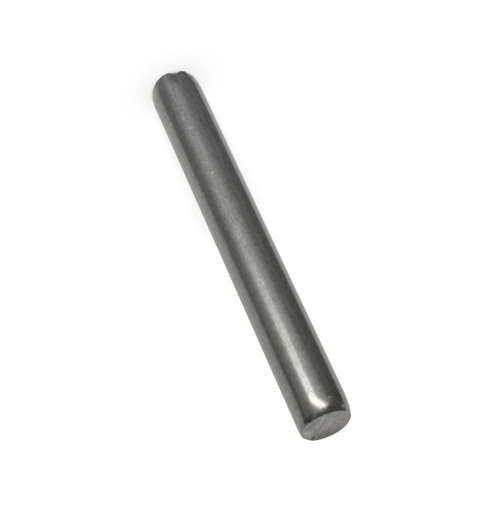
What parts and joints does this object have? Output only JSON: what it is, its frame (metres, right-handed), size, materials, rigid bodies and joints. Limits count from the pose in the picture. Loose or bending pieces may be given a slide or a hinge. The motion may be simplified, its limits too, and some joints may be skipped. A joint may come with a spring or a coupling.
{
  "type": "ball stop pin",
  "caption": "Plain round solid steel pin with crowned, flat-faced ends, set crosswise through a valve cage above the ball to limit how far it lifts.",
  "frame": {"origin": "centre of the lower end face, on the pin's axis, where the pin stands", "axes": "+Z along the pin's axis, from the lower end face to the upper one; the pin is round, so X and Y only say where the dent and the chip in the rims are: +X is 34 degrees clockwise of the dent in the upper rim, seen from above"},
  "size_m": [0.0064, 0.0064, 0.0508],
  "materials": {
    "ground_steel": "bright ground and polished shank, dull cropped end faces"
  },
  "bodies": {
    "root": {"ball_stop_pin": "ground_steel"}
  },
  "joints": []
}
